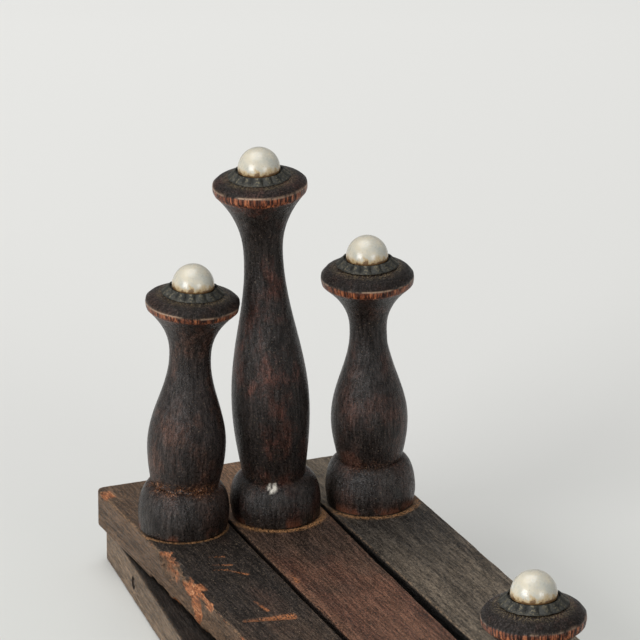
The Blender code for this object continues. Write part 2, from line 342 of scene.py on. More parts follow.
def paint(red, green, blue):
    """A linear colour from the usual 0 to 255 values."""
    channels = [value / 255 for value in (red, green, blue)]
    linear = [c / 12.92 if c <= 0.04045 else ((c + 0.055) / 1.055) ** 2.4 for c in channels]
    return (*linear, 1.0)


def scaled(colour, factor):
    """A darker or lighter tone of a colour."""
    return (*(channel * factor for channel in colour[:3]), 1.0)


class Tree:
    """Short calls for building one material's nodes."""

    def __init__(self, name):
        self.material = bpy.data.materials.new(name)
        self.material.use_nodes = True
        self.nodes = self.material.node_tree.nodes
        self.links = self.material.node_tree.links
        self.shader = self.nodes["Principled BSDF"]
        self.place = self.node("ShaderNodeTexCoord").outputs["Object"]

    def node(self, kind, inputs=None, **settings):
        """Add a node, its inputs values or other outputs."""
        made = self.nodes.new(kind)
        for key, value in settings.items():
            setattr(made, key, value)
        for key, value in (inputs or {}).items():
            self.set_input(made.inputs[key], value)
        return made

    def set_input(self, socket, value):
        """Set an input, or link it to an output."""
        if isinstance(value, bpy.types.NodeSocket):
            self.links.new(value, socket)
        else:
            socket.default_value = value

    def noise(self, lumps, detail=4.0, roughness=0.6, offset=(0.0, 0.0, 0.0), distortion=0.0):
        """Noise with the given lumps per millimetre along x, y and z."""
        scale = tuple(value / MM for value in lumps)
        placing = {"Vector": self.place, "Scale": scale, "Location": offset}
        mapping = self.node("ShaderNodeMapping", placing)
        inputs = {
            "Vector": mapping.outputs["Vector"], "Scale": 1.0, "Detail": detail,
            "Roughness": roughness, "Distortion": distortion,
        }
        return self.node("ShaderNodeTexNoise", inputs).outputs["Fac"]

    def attribute(self, name):
        """A value stored on the mesh."""
        return self.node("ShaderNodeAttribute", attribute_name=name).outputs["Fac"]

    def math(self, operation, first, second=0.0, third=0.0):
        """Arithmetic on up to three values."""
        made = self.node("ShaderNodeMath", operation=operation)
        for socket, value in zip(made.inputs, (first, second, third)):
            self.set_input(socket, value)
        return made.outputs["Value"]

    def times(self, first, second):
        """One value times another."""
        return self.math("MULTIPLY", first, second)

    def weighted(self, *shares):
        """The sum of some values, each times its weight."""
        parts = [self.times(value, weight) for value, weight in shares]
        total = parts[0]
        for part in parts[1:]:
            total = self.math("ADD", total, part)
        return total

    def stray(self, value, texture, amount):
        """A value that strays up and down with a texture."""
        return self.math("ADD", value, self.times(self.math("SUBTRACT", texture, 0.5), amount))

    def step(self, value, low, high, to_low=0.0, to_high=1.0):
        """A smooth change between two numbers as a value goes from low to high."""
        inputs = {"Value": value, "From Min": low, "From Max": high, "To Min": to_low, "To Max": to_high}
        made = self.node("ShaderNodeMapRange", inputs, interpolation_type="SMOOTHSTEP")
        return made.outputs["Result"]

    def ramp(self, value, stops):
        """A colour for each value, between stops of (place, colour)."""
        made = self.node("ShaderNodeValToRGB", {"Fac": value})
        elements = made.color_ramp.elements
        while len(elements) < len(stops):
            elements.new(0.5)
        for element, (place, colour) in zip(elements, stops):
            element.position = place
            element.color = colour
        return made.outputs["Color"]

    def tones(self, value, colour, stops):
        """Tones of one colour for each value, between stops of (place, factor)."""
        return self.ramp(value, [(place, scaled(colour, factor)) for place, factor in stops])

    def mix(self, factor, first, second):
        """A blend from one colour to another."""
        made = self.node("ShaderNodeMix", data_type="RGBA")
        for index, value in ((0, factor), (6, first), (7, second)):
            self.set_input(made.inputs[index], value)
        return made.outputs[2]

    def lay(self, colour, tone, texture, *steps):
        """Lay a tone over a colour where a texture is high."""
        return self.mix(self.step(texture, *steps), colour, tone)

    def lay_on(self, name, colour, tone, texture, *steps):
        """Lay a tone over a colour where the mesh marks it and a texture lets it show."""
        shown = self.times(self.attribute(name), self.step(texture, *steps))
        return self.mix(shown, colour, tone)

    def bump(self, height, depth, strength=1.0, below=None):
        """A bump, its depth in millimetres."""
        inputs = {"Height": height, "Strength": strength, "Distance": depth * MM}
        made = self.node("ShaderNodeBump", inputs)
        if below:
            self.links.new(below, made.inputs["Normal"])
        return made.outputs["Normal"]

    def finish(self, colour, roughness, normal=None):
        """Connect the shader, and return the material."""
        self.set_input(self.shader.inputs["Base Color"], colour)
        self.set_input(self.shader.inputs["Roughness"], roughness)
        if normal:
            self.links.new(normal, self.shader.inputs["Normal"])
        return self.material


def slat_stain(tree, dark, red, pale, grain, cloud, broad):
    """The colour of sound wood: dark stain, ruddy in places, worn pale where the mesh says so."""
    stained = tree.tones(grain, dark, [(0.41, 0.22), (0.48, 0.70), (0.53, 1.45), (0.60, 3.0)])
    ruddy = tree.tones(grain, red, [(0.41, 0.30), (0.48, 0.75), (0.53, 1.25), (0.60, 2.2)])
    worn = tree.tones(grain, pale, [(0.40, 0.26), (0.47, 0.74), (0.53, 1.18), (0.60, 1.9)])
    redness = tree.stray(tree.attribute("red"), cloud, 1.6)
    wear = tree.stray(tree.attribute("pale"), broad, 0.45)
    colour = tree.mix(tree.step(redness, 0.20, 0.80), stained, ruddy)
    return tree.mix(tree.step(wear, 0.10, 0.90), colour, worn)


def slat_damage(tree, colour, grain, mottle):
    """Lay rubbed edges, crescents, bare split wood and scratches over a slat's colour."""
    edge = tree.times(tree.attribute("edge"), tree.step(mottle, 0.44, 0.58))
    colour = tree.mix(tree.times(edge, 0.7), colour, paint(150, 118, 88))
    colour = tree.lay_on("crescent", colour, paint(176, 128, 84), mottle, 0.36, 0.54)
    split = tree.ramp(grain, [
        (0.36, paint(58, 34, 22)), (0.46, paint(120, 72, 44)),
        (0.54, paint(172, 108, 68)), (0.64, paint(206, 156, 112)),
    ])
    colour = tree.mix(tree.attribute("bare"), colour, split)
    return tree.lay_on("scratch", colour, paint(190, 118, 70), mottle, 0.38, 0.52)


def slat_material(name, dark, red, pale, seed):
    """Stained wood, worn pale on its sides and bare where it is chipped. Grain runs along Y."""
    tree = Tree(name)
    shift = (seed * 7.3, seed * 3.1, seed * 5.7)
    fine = tree.noise((1.5, 0.13, 1.5), 5.0, 0.70, shift)
    broad = tree.noise((0.30, 0.012, 0.30), 4.0, 0.6, shift, 0.4)
    cloud = tree.noise((0.06, 0.035, 0.06), 3.0, 0.6, shift)
    mottle = tree.noise((2.2, 1.2, 2.2), 3.0, 0.68, shift)
    pores = tree.noise((4.0, 0.35, 4.0), 2.0, 0.5, shift)
    specks = tree.noise((3.4, 2.6, 3.4), 2.0, 0.5, shift)
    grain = tree.weighted((fine, 0.42), (broad, 0.14), (mottle, 0.44))

    colour = slat_stain(tree, dark, red, pale, grain, cloud, broad)
    colour = slat_damage(tree, colour, grain, mottle)
    colour = tree.lay(colour, scaled(dark, 0.25), pores, 0.58, 0.66, 0.0, 0.65)
    # Pale specks in the grain, partly painted glints.
    colour = tree.lay(colour, paint(160, 140, 116), specks, 0.655, 0.70, 0.0, 0.55)
    # Painted shade: much darker stain in the gaps and under the overlapping slats, with dirt in the
    # splinters.
    colour = tree.mix(tree.attribute("painted_shade_and_grime"), colour, scaled(dark, 0.12))

    shine = tree.step(fine, 0.42, 0.60, 0.22, 0.38)
    tree.set_input(tree.shader.inputs["Specular IOR Level"], shine)
    normal = tree.bump(fine, 0.30)
    normal = tree.bump(mottle, 0.30, 1.0, normal)
    normal = tree.bump(tree.step(pores, 0.68, 0.56), 0.14, 0.8, normal)
    return tree.finish(colour, tree.step(mottle, 0.40, 0.60, 0.44, 0.70), normal)


def peg_polish(tree, dark, red, grain, cloud):
    """The colour of polished wood: nearly black, and ruddy where the polish has thinned."""
    polish = tree.tones(grain, dark, [(0.40, 0.14), (0.47, 0.60), (0.53, 1.0), (0.62, 3.0)])
    ruddy = tree.tones(grain, red, [(0.40, 0.10), (0.47, 0.50), (0.53, 0.95), (0.62, 2.3)])
    return tree.lay(polish, ruddy, cloud, 0.46, 0.64, 0.0, 0.85)


def peg_rim(tree, colour, fine, cloud):
    """Lay the worn band round a peg's rim over its colour, with a pale line along its top."""
    band = tree.ramp(fine, [
        (0.38, paint(20, 11, 9)), (0.46, paint(66, 34, 22)),
        (0.54, paint(126, 66, 38)), (0.64, paint(176, 110, 68)),
    ])
    colour = tree.lay_on("rim", colour, band, cloud, 0.30, 0.46, 0.35, 1.0)
    return tree.lay_on("line", colour, paint(178, 150, 126), cloud, 0.44, 0.56, 0.0, 0.8)


def peg_damage(tree, colour, cloud, mottle, specks):
    """Lay torn fibres, the crust round the collar and the rubbed foot over a peg's colour."""
    torn = tree.ramp(specks, [
        (0.36, paint(24, 15, 12)), (0.50, paint(74, 46, 31)),
        (0.58, paint(128, 80, 50)), (0.68, paint(196, 150, 110)),
    ])
    colour = tree.lay_on("torn", colour, torn, mottle, 0.40, 0.54)
    colour = tree.lay_on("head", colour, paint(116, 102, 78), specks, 0.49, 0.60, 0.0, 0.75)
    return tree.lay_on("foot", colour, paint(104, 62, 44), cloud, 0.50, 0.60, 0.0, 0.6)


def peg_material(name, dark, red, seed):
    """Turned wood under old dark polish, with its grain up the peg."""
    tree = Tree(name)
    shift = (seed * 4.1, seed * 9.2, seed * 2.6)
    fine = tree.noise((1.5, 1.5, 0.14), 5.0, 0.70, shift)
    broad = tree.noise((0.20, 0.20, 0.03), 3.0, 0.6, shift, 0.5)
    cloud = tree.noise((0.11, 0.11, 0.07), 4.0, 0.65, shift)
    mottle = tree.noise((2.8, 2.8, 1.7), 3.0, 0.65, shift)
    pores = tree.noise((3.6, 3.6, 0.45), 2.0, 0.5, shift)
    specks = tree.noise((3.0, 3.0, 2.4), 3.0, 0.6, shift)
    grain = tree.weighted((fine, 0.40), (broad, 0.20), (mottle, 0.40))

    top = tree.times(tree.attribute("top"), tree.step(mottle, 0.38, 0.56, 0.95, 0.45))
    colour = tree.mix(top, peg_polish(tree, dark, red, grain, cloud), paint(22, 18, 15))
    dust = tree.ramp(grain, [(0.42, paint(16, 15, 14)), (0.60, paint(52, 48, 45))])
    colour = tree.lay_on("bun", colour, dust, broad, 0.42, 0.60, 0.30, 0.65)
    colour = peg_rim(tree, colour, fine, cloud)
    colour = peg_damage(tree, colour, cloud, mottle, specks)
    colour = tree.lay(colour, scaled(dark, 0.2), pores, 0.58, 0.66, 0.0, 0.7)
    # Pale specks in the grain, partly painted glints.
    colour = tree.lay(colour, paint(150, 130, 108), specks, 0.66, 0.70, 0.0, 0.5)
    colour = tree.lay_on("fleck", colour, paint(214, 208, 196), specks, 0.34, 0.48)

    gloss = tree.step(mottle, 0.40, 0.60, 0.24, 0.42)
    shine = tree.step(fine, 0.40, 0.60, 0.19, 0.38)
    shine = tree.times(shine, tree.math("SUBTRACT", 1.0, tree.times(top, 0.55)))
    tree.set_input(tree.shader.inputs["Specular IOR Level"], shine)
    normal = tree.bump(mottle, 0.22, 1.0, tree.bump(fine, 0.15))
    return tree.finish(colour, tree.math("MAXIMUM", gloss, tree.times(top, 0.6)), normal)


def collar_material():
    """Thin pressed brass, gone dark green and brown, brighter where it is rubbed."""
    tree = Tree("collar_metal")
    cloud = tree.noise((0.5, 0.5, 0.5), 4.0, 0.65)
    specks = tree.noise((2.4, 2.4, 2.4), 3.0, 0.6)
    tones = [(0.35, paint(26, 27, 24)), (0.52, paint(46, 46, 41)), (0.68, paint(76, 72, 60))]
    colour = tree.ramp(cloud, tones)
    colour = tree.lay_on("edge", colour, paint(122, 114, 92), specks, 0.48, 0.62, 0.0, 0.6)
    colour = tree.lay(colour, paint(112, 104, 82), specks, 0.60, 0.68, 0.0, 0.5)
    tree.shader.inputs["Metallic"].default_value = 0.35
    roughness = tree.step(cloud, 0.3, 0.7, 0.66, 0.46)
    return tree.finish(colour, roughness, tree.bump(specks, 0.12, 0.7))


def porcelain_material():
    """Cream glazed porcelain with brown stains towards its foot."""
    tree = Tree("porcelain")
    cloud = tree.noise((0.22, 0.22, 0.22), 4.0, 0.6)
    blotch = tree.noise((0.55, 0.55, 0.40), 5.0, 0.65)
    specks = tree.noise((2.2, 2.2, 2.2), 2.0, 0.5)
    colour = tree.ramp(cloud, [(0.38, paint(172, 172, 163)), (0.60, paint(192, 185, 167))])
    stain = tree.stray(tree.attribute("stain"), blotch, 3.2)
    colour = tree.lay(colour, paint(170, 142, 92), stain, 0.30, 0.95, 0.0, 0.80)
    colour = tree.lay(colour, paint(92, 64, 36), stain, 0.85, 1.20, 0.0, 0.90)
    colour = tree.lay(colour, paint(112, 106, 88), specks, 0.68, 0.73, 0.0, 0.6)
    shader = tree.shader.inputs
    shader["Subsurface Weight"].default_value = 0.12
    shader["Subsurface Radius"].default_value = (0.002, 0.0015, 0.001)
    shader["Coat Weight"].default_value = 0.4
    shader["Coat Roughness"].default_value = 0.14
    roughness = tree.step(blotch, 0.35, 0.65, 0.24, 0.40)
    return tree.finish(colour, roughness, tree.bump(blotch, 0.05, 0.35))


def iron_material():
    """Dull iron, rusty in places."""
    tree = Tree("iron")
    cloud = tree.noise((0.8, 0.8, 0.8), 4.0, 0.65)
    specks = tree.noise((3.5, 3.5, 3.5), 3.0, 0.6)
    tones = [(0.35, paint(62, 56, 52)), (0.52, paint(96, 88, 80)), (0.68, paint(112, 78, 58))]
    colour = tree.ramp(cloud, tones)
    tree.shader.inputs["Metallic"].default_value = 0.7
    return tree.finish(colour, tree.step(specks, 0.3, 0.7, 0.45, 0.75), tree.bump(specks, 0.05, 0.6))


def floor_material():
    """Plain pale paper with painted light: darker towards the front and lighter towards the back, standing
    in for the lamps' fall-off.
    """
    tree = Tree("floor_paper_painted_light")
    place = tree.node("ShaderNodeSeparateXYZ", {"Vector": tree.place})
    turn = math.radians(CAMERA_TURN)
    across = tree.times(place.outputs["X"], math.sin(turn))
    depth = tree.math("MULTIPLY_ADD", place.outputs["Y"], math.cos(turn), across)
    # Painted light and shade: the paper's tone rises from front to back.
    colour = tree.ramp(depth, [
        (0.15, paint(210, 211, 207)), (0.30, paint(216, 216, 213)), (0.40, paint(222, 222, 219)),
        (0.65, paint(233, 233, 230)),
    ])
    tree.shader.inputs["Specular IOR Level"].default_value = 0.1
    return tree.finish(colour, 0.9)


# ---- slats


# Wear of each slat: pale wear on top as (millimetres past the first pivot, amount)
PALE_TOP = {
    "front_slat_1": [(-40, 0.5), (60, 0.3), (200, 0.5), (500, 0.4)],
    "front_slat_2": [(-36, 0.80), (-6, 0.70), (8, 0.10), (45, 0.12), (75, 0.35), (150, 0.3), (500, 0.5)],
    "front_slat_3": [(-36, 0.95), (-8, 0.85), (12, 0.26), (50, 0.30), (100, 0.36), (500, 0.4)],
    "front_slat_4": [(-36, 0.95), (-8, 0.90), (14, 0.20), (50, 0.58), (100, 0.65), (300, 0.5)],
}
PALE_BACK = [(-40, 0.10), (500, 0.10)]
# Pale wear of a slat's sides: (left side, left side past its second pivot, right side, the same).
# Sides that face a neighbour while the rack is closed stay dark.
PALE_SIDES = {
    "front_slat_1": (0.80, 0.80, 0.10, 0.10), "front_slat_2": (0.85, 0.15, 0.00, 0.00),
    "front_slat_3": (0.00, 0.00, 0.00, 0.75), "front_slat_4": (0.00, 0.00, 0.80, 0.80),
    "back_slat_1": (0.85, 0.85, 0.10, 0.10), "back_slat_2": (0.10, 0.75, 0.10, 0.10),
    "back_slat_3": (0.10, 0.10, 0.75, 0.15), "back_slat_4": (0.10, 0.10, 0.80, 0.80),
}
# Chips along the upper left edge: (start, end, inwards, down the side, how bare)
CHIPS = {
    "front_slat_2": [
        (5, 12, 0.5, 0.7, 0.2), (13.0, 29.0, 2.4, 4.2, 0.52), (29, 38, 1.5, 4.0, 0.85),
        (37, 52, 0.8, 2.0, 0.8), (52, 62, 0.35, 0.7, 0.4), (64, 86, 0.6, 0.9, 0.7),
    ],
    "front_slat_1": [(40, 49, 0.8, 0.9, 0.6)],
    "back_slat_1": [(14, 70, 0.3, 0.4, 0.5)],
}
# Splinters along the lower left edge: (start, end, inwards, up the side, how bare)
SPLINTERS = {
    "front_slat_2": [(6, 30, 1.6, 1.3, 0.35), (22, 66, 2.2, 1.9, 0.42), (60, 120, 1.2, 1.0, 0.3)],
}
# Bare patches on the left side: (middle, height above the slat's foot, half length, half height, slope)
PATCHES = {
    "front_slat_2": [(39.5, 6.0, 3.6, 6.2, -0.55), (-26.5, 9.8, 2.6, 0.9, 0.0)],
}
# Scratches and gouges on top: (start, end, half width, depth), each place as (past, across)
SCRATCHES = {
    "front_slat_2": [
        ((61.6, -8.9), (63.6, 5.2), 2.5, 0.50), ((26.5, -2.4), (28.4, 2.3), 0.55, 0.12),
        ((30.6, -0.4), (35.6, 3.8), 0.60, 0.14), ((29.5, -3.5), (30.8, 0.3), 0.40, 0.10),
        ((51.0, -1.3), (58.6, -0.3), 0.80, 0.16), ((21.4, -1.5), (22.8, 2.6), 0.35, 0.08),
    ],
    "front_slat_3": [((36.6, -11.6), (43.4, -12.2), 0.9, 0.25)],
}


def graded(low, high, step):
    """Grid lines from low to high, close together near both ends."""
    near = np.array(EDGE_LINES)
    count = max(2, round((high - low - 2 * near[-1]) / step))
    middle = np.linspace(low + near[-1], high - near[-1], count + 1)[1:-1]
    return np.concatenate((low + near, middle, high - near[::-1]))


def section_loop(width, height, step):
    """Points round a slat's section as fractions of its width and height."""
    across = graded(0, width, step) / width
    up = graded(0, height, step) / height
    top = [(a, 1.0) for a in across]
    right = [(1.0, b) for b in up[::-1][1:]]
    bottom = [(a, 0.0) for a in across[::-1][1:]]
    left = [(0.0, b) for b in up[1:-1]]
    return np.array(top + right + bottom + left)


def slat_sides(name, past):
    """Left and right edge of a slat across its axis, with the bow of old wood."""
    bow = np.sin(math.pi * np.clip(past / PIVOT_SPACING, 0, 1))
    if name == "front_slat_2":
        return -(11.3 + 1.3 * bow), 11.8 - 2.1 * bow
    if name == "front_slat_3":
        return -(12.7 + 1.3 * bow), 12.2 - 2.0 * bow
    if name == "front_slat_4":
        return np.full(past.shape, -12.2), 12.1 + 0.35 * bow
    drift = 0.08 * noise(past / 90, 0.5, 0.5, seed_of(name))
    return -12.4 + drift, 12.4 + drift


def round_off(x, y, z, half_x, half_y, half_z, corner, edge):
    """Pull the points of a sharp box onto one with round corners in plan and worn edges."""
    reach_x = np.abs(x) - (half_x - corner)
    reach_y = np.abs(y) - (half_y - corner)
    over_x, over_y = np.maximum(reach_x, 0), np.maximum(reach_y, 0)
    length = np.hypot(over_x, over_y)
    outside = length + np.minimum(np.maximum(reach_x, reach_y), 0) - corner
    flat = length < 1e-9
    safe = np.where(flat, 1.0, length)
    along_x = np.where(flat, (reach_x >= reach_y).astype(float), over_x / safe) * np.sign(x)
    along_y = np.where(flat, (reach_x < reach_y).astype(float), over_y / safe) * np.sign(y)
    excess = np.maximum(outside, 0)
    side = np.maximum(np.minimum(outside, 0) + edge, 0)
    rise = np.maximum(np.abs(z) - (half_z - edge), 0)
    total = np.hypot(side, rise)
    shrink = np.where((side > 0) & (rise > 0) & (total > edge), edge / np.maximum(total, 1e-9), 1.0)
    inward = excess + side * (1 - shrink)
    z = np.where(rise > 0, np.sign(z) * (half_z - edge + rise * shrink), z)
    worn = np.clip(side / edge, 0, 1) * np.clip(rise / edge, 0, 1)
    return x - along_x * inward, y - along_y * inward, z, worn


def chip_edge(across, depth, past, chips, seed):
    """Break an edge away. across and depth run inwards from it.

    Returns both, with the depth of the cut and how bare it is.
    """
    cut = np.zeros(across.shape)
    bare = np.zeros(across.shape)
    for start, end, inward, down, bareness in chips:
        taper = np.clip(np.minimum(past - start, end - past) / 1.6, 0, 1)
        rough = 1 + 0.45 * layered_noise(past / 2.4, start, 0.0, seed)
        rough = rough + 0.25 * noise(past / 0.9, start, 3.0, seed)
        reach = np.maximum(inward * taper * rough, 1e-3)
        drop = np.maximum(down * taper * (1 + 0.3 * noise(past / 3.1, start, 7.0, seed)), 1e-3)
        slope = np.hypot(1 / reach, 1 / drop)
        missing = np.maximum(1 - across / reach - depth / drop, 0) / slope
        missing = np.where(taper > 0, missing, 0)
        across = across + missing / reach / slope
        depth = depth + missing / drop / slope
        bare = np.where(missing > cut, bareness, bare)
        cut = np.maximum(cut, missing)
    return across, depth, cut, bare


def line_mark(past, across, start, end, half_width):
    """1 on a line on the slat's top, fading to 0 at its half width and its ends."""
    start, end = np.array(start), np.array(end)
    run = end - start
    length = np.hypot(*run)
    t = ((past - start[0]) * run[0] + (across - start[1]) * run[1]) / length**2
    off = ((past - start[0]) * run[1] - (across - start[1]) * run[0]) / length
    width = half_width * (0.35 + 0.65 * np.clip(t, 0, 1))
    inside = np.clip(1 - np.abs(off) / width, 0, 1) * smooth_step(np.minimum(t, 1 - t), -0.02, 0.08)
    return inside, t


def slat_grid(name, low, high):
    """Places across and up a slat's section for the points of each ring, and the rings along it."""
    section_step, length_step = GRID_STEPS.get(name, COARSE_STEPS)
    loop = section_loop(high[0] - low[0], high[2] - low[2], section_step)
    near = graded(-FINE_LENGTH, high[1], length_step)
    far = graded(low[1], -FINE_LENGTH, FAR_STEP)
    lines = len(EDGE_LINES)
    stations = np.unique(np.concatenate((far[:-lines], near[lines - 1:])))
    caps = np.array(CAP_SIZES)
    sizes = np.concatenate((caps, np.ones(len(stations)), caps[::-1]))[:, None]
    ends = [np.full(len(caps), place) for place in (low[1], high[1])]
    along = np.concatenate((ends[0], stations, ends[1]))[:, None]
    return 0.5 + (loop[:, 0] - 0.5) * sizes, 0.5 + (loop[:, 1] - 0.5) * sizes, along


class SlatSurface:
    """The surface of one slat as points about its middle, in millimetres, and how worn each is."""

    def __init__(self, name, low, high):
        self.name, self.seed = name, seed_of(name)
        across, up, along = slat_grid(name, low, high)
        left, right = slat_sides(name, -along)
        self.half_x, self.middle_x = (right - left) / 2, (right + left) / 2
        self.half_y, self.middle_y = (high[1] - low[1]) / 2, (high[1] + low[1]) / 2
        self.half_z, self.middle_z = (high[2] - low[2]) / 2, (high[2] + low[2]) / 2
        x = (across - 0.5) * 2 * self.half_x
        y = np.broadcast_to(along - self.middle_y, x.shape)
        z = (up - 0.5) * 2 * self.half_z
        self.wear_edges(x, y, z)
        self.sideways = smooth_step(self.half_z - np.abs(self.z), 0.1, 0.7)
        self.past = -(self.y + self.middle_y)

    def wear_edges(self, x, y, z):
        """Round the corners and wear the edges of a sharp block."""
        seed = self.seed
        corner = CORNER_RADIUS + 0.5 * noise(np.sign(x) * 3, np.sign(y) * 3, 0.0, seed)
        edge = EDGE_RADIUS + 0.24 * noise(y / 9, np.sign(x) * 5, np.sign(z) * 5, seed)
        edge = edge + 0.10 * noise(y / 2, x / 6, z / 6, seed)
        halves = self.half_x, self.half_y, self.half_z
        self.x, self.y, self.z, self.worn = round_off(x, y, z, *halves, corner, edge)

    def break_edges(self):
        """Chip the upper left edge, splinter the lower left one, and roughen what is broken."""
        past, seed = self.past, self.seed
        chips, splinters = CHIPS.get(self.name, []), SPLINTERS.get(self.name, [])
        left_of, below_top, self.cut, self.open_top = chip_edge(
            self.x + self.half_x, self.half_z - self.z, past, chips, seed)
        left_of, above_foot, self.torn, self.open_foot = chip_edge(
            left_of, 2 * self.half_z - below_top, past, splinters, seed + 50)
        x, z = left_of - self.half_x, above_foot - self.half_z
        roughness = smooth_step(self.cut, 0.02, 0.15) + smooth_step(self.torn, 0.02, 0.15)
        x = x + 0.28 * roughness * noise(past / 6.5, z / 1.5, x / 1.5, seed + 1)
        z = z - 0.26 * roughness * np.abs(noise(past / 7.5, z / 1.3, x / 1.3, seed + 2))
        self.x, self.z = x, z

    def side_patch(self, centre, height, half_length, half_height, slope):
        """1 inside a ragged patch on the left side."""
        from_foot = self.z + self.half_z
        shifted = self.past - centre - (from_foot - height) * slope / 2
        spread = np.hypot(shifted / half_length, (from_foot - height) / half_height)
        ragged = spread + 0.35 * layered_noise(self.past / 2.5, from_foot / 1.2, 0.0, self.seed + 4)
        near_side = (self.x < 0) * smooth_step(self.half_x + self.x, 3.0, 2.0)
        return smooth_step(1 - ragged, -0.05, 0.15) * near_side

    def strip_stain(self):
        """Find how bare the wood is: in chips, in patches sunk a little, and in splinters."""
        mottle = layered_noise(self.past / 6, self.z / 1.6, 0.3, self.seed + 3)
        low, high = 0.35 - 0.9 * self.open_top, 0.75 - 0.9 * self.open_top
        bare = smooth_step(self.cut, 0.04, 0.20) * smooth_step(mottle, low, high)
        for patch_shape in PATCHES.get(self.name, []):
            patch = self.side_patch(*patch_shape)
            self.x = self.x + 0.30 * patch
            bare = np.maximum(bare, patch * smooth_step(mottle, -0.9, -0.1))
        low, high = 0.5 - self.open_foot, 0.9 - self.open_foot
        frayed = smooth_step(self.torn, 0.04, 0.25) * smooth_step(mottle, low, high)
        self.bare = np.maximum(bare, frayed)

    def scratch_top(self):
        """Cut the scratches and gouges into the top."""
        self.on_top = smooth_step(self.z, self.half_z - 0.6, self.half_z - 0.2)
        self.scratch = np.zeros(self.x.shape)
        for start, end, half_width, depth in SCRATCHES.get(self.name, []):
            line, t = line_mark(self.past, self.x + self.middle_x, start, end, half_width)
            line = line * self.on_top
            self.z = self.z - depth * line
            mark = smooth_step(line, 0.1, 0.6) * (0.3 + 0.7 * np.clip(t, 0, 1) ** 1.5)
            self.scratch = np.maximum(self.scratch, mark)

    def raise_grain(self):
        """Sink fine furrows along the grain into the sides, the top and the underside."""
        x, z, past, seed = self.x, self.z, self.past, self.seed
        grain = noise(x / 0.8, past / 12, z / 0.8, seed + 6)
        x = x - 0.05 * np.abs(grain) * self.sideways * np.sign(x)
        furrows = np.abs(noise(x / 1.1, past / 14, 0.0, seed + 7))
        z = z - 0.04 * furrows * self.on_top * np.sign(z)
        faces = smooth_step(np.abs(z), self.half_z - 0.3, self.half_z) * np.sign(z)
        z = z - 0.05 * (1 + noise(x / 9, past / 30, 0.0, seed + 8)) * faces
        self.x, self.z = x, z

    def side_pale(self):
        """How pale each side is, before and past the second pivot, and at the ends."""
        beyond = smooth_step(self.past, PIVOT_SPACING - 2, PIVOT_SPACING + 2)
        left, left_beyond, right, right_beyond = PALE_SIDES[self.name]
        left_pale = left + (left_beyond - left) * beyond
        right_pale = right + (right_beyond - right) * beyond
        pale = np.where(self.x < 0, left_pale, right_pale)
        end_pale = smooth_step(self.half_y - np.abs(self.y), 0.6, 0.1)
        return pale + (0.7 - pale) * end_pale

    def painted_shade_and_grime(self, side_pale):
        """Painted shade on the sides that face a neighbour in the gaps and on the face that lies on the
        other slats, and dirt with painted shade in the splinters.
        """
        deep = smooth_step(self.half_z - self.z, 0.1, 1.2)
        # Painted shade: sides that face a neighbour get darker deep in the gap.
        hidden = smooth_step(0.3 - side_pale, 0.0, 0.2) * deep * self.sideways
        facing = -1 if self.name.startswith("front") else 1
        # Painted shade on the face that lies on the other slats.
        covered = 0.66 * smooth_step(facing * self.z, self.half_z - 0.6, self.half_z - 0.2)
        shade_and_dirt = np.maximum(0.8 * hidden, 0.5 * smooth_step(self.torn, 0.05, 0.4))
        return np.maximum(shade_and_dirt * (1 - self.bare), covered)

    def values(self):
        """What the slat's material reads, as values from 0 to 1."""
        side_pale = self.side_pale()
        top_pale = np.interp(self.past, *zip(*PALE_TOP.get(self.name, PALE_BACK)))
        top_red = np.interp(self.past, *zip(*RED_TOP.get(self.name, RED_BACK)))
        rubbed = smooth_step(side_pale + 0.3 * (self.z > 0), 0.1, 0.5)
        return {
            "red": top_red * (1 - 0.7 * self.sideways),
            "pale": top_pale * (1 - self.sideways) + side_pale * self.sideways,
            "edge": self.worn * (1 - self.bare) * rubbed,
            "bare": self.bare,
            "scratch": self.scratch,
            "painted_shade_and_grime": self.painted_shade_and_grime(side_pale),
            "crescent": np.zeros(self.x.shape),
        }

    def rings(self):
        """The surface as rings of points in the slat's axes."""
        places = self.x + self.middle_x, self.y + self.middle_y, self.z + self.middle_z
        return np.stack(places, axis=-1)


def aged_slat(name, low, high):
    """A slat's surface with all its damage."""
    surface = SlatSurface(name, low, high)
    surface.break_edges()
    surface.strip_stain()
    surface.scratch_top()
    surface.raise_grain()
    return surface


# Pale crescents rubbed in front of the pegs' feet: (width, strength)
CRESCENTS = {"upper_1": (0.7, 0.8), "upper_2": (1.7, 0.95), "upper_3": (1.6, 0.7)}


def add_crescents(rings, values, labels, matrix, on_top):
    """Mark the crescents below each foot on a slat's top."""
    inverse = matrix.inverted()
    crescent = values["crescent"]
    for label in labels:
        if label not in CRESCENTS:
            continue
        width, strength = CRESCENTS[label]
        place = inverse @ pivot(label) / MM
        from_x, from_y = rings[..., 0] - place.x, rings[..., 1] - place.y
        distance = np.hypot(from_x, from_y)
        ring = smooth_step(distance, FOOT_RADIUS - 0.4, FOOT_RADIUS + 0.1)
        ring = ring * (1 - smooth_step(distance, FOOT_RADIUS + 0.6 * width, FOOT_RADIUS + 1.2 * width))
        ring = ring * smooth_step(-from_y, -2.0, 7.0) * on_top
        crescent[...] = np.maximum(crescent, strength * ring)


def slat_cutters(labels, layer, box):
    """Rods for the holes under each peg, and for the brads in a back slat."""
    cutters = []
    for label in labels:
        if layer == "front":
            hole = Matrix.Translation(pivot(label))
            cutters.append(rod_cutter(RUNNING_HOLE_RADIUS, box[0][2] - 1, box[1][2] + 1, hole))
            continue
        tenon = axis_matrix(*foot_axis(label))
        cutters.append(brad_mouth(label))
        cutters.append(rod_cutter(FIXED_HOLE_RADIUS, -TENON_LENGTH - 15, FIXED_HOLE_TOP, tenon))
        cutters.append(brad_cutter(label))
    return cutters


